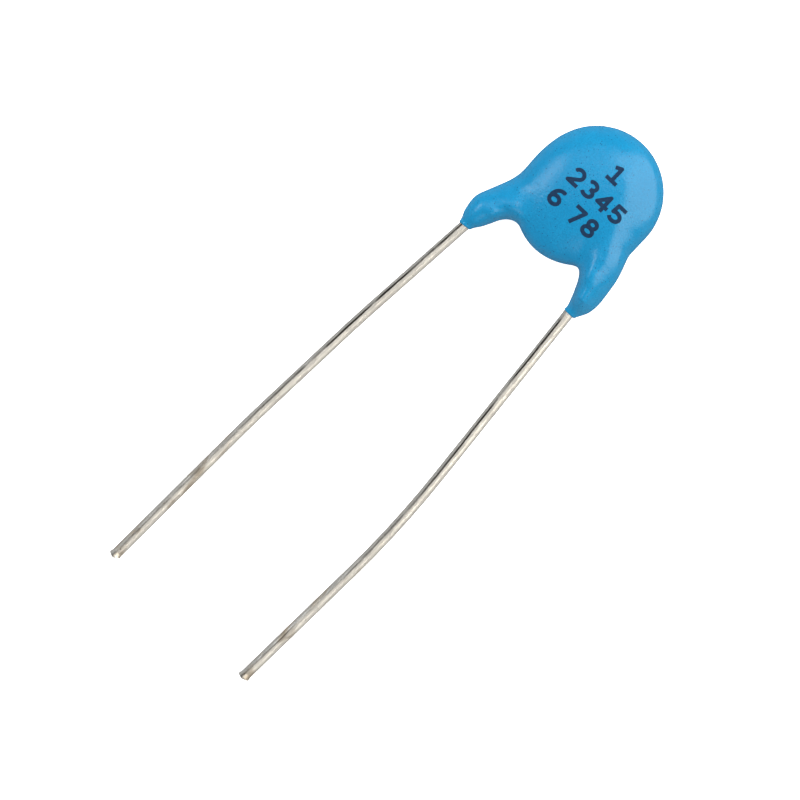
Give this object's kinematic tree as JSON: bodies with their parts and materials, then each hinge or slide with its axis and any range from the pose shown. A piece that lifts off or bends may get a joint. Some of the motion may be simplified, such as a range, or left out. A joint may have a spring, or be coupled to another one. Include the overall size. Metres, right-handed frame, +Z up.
{
  "type": "ceramic disc capacitor",
  "caption": "Blue dip-coated ceramic disc capacitor with two long tinned wire leads, lying on its back; the coating runs down each lead as a leg.",
  "frame": {"origin": "on the surface that the part lies on, under the middle of its outline", "axes": "+Z up, out of the marked face; +Y towards the coated disc, away from the lead ends; +X across the leads, towards the lead soldered to the marked face"},
  "size_m": [0.0107, 0.0362, 0.0035],
  "materials": {
    "epoxy": "gloss",
    "tinned_wire": "satin",
    "ceramic": "matte",
    "silver": "satin",
    "solder": "satin"
  },
  "bodies": {
    "root": {"ceramic_disc": "ceramic", "electrode_front": "silver", "electrode_back": "silver", "solder_front": "solder", "solder_back": "solder", "lead_front": "tinned_wire", "lead_back": "tinned_wire", "coating": "epoxy"}
  },
  "joints": []
}
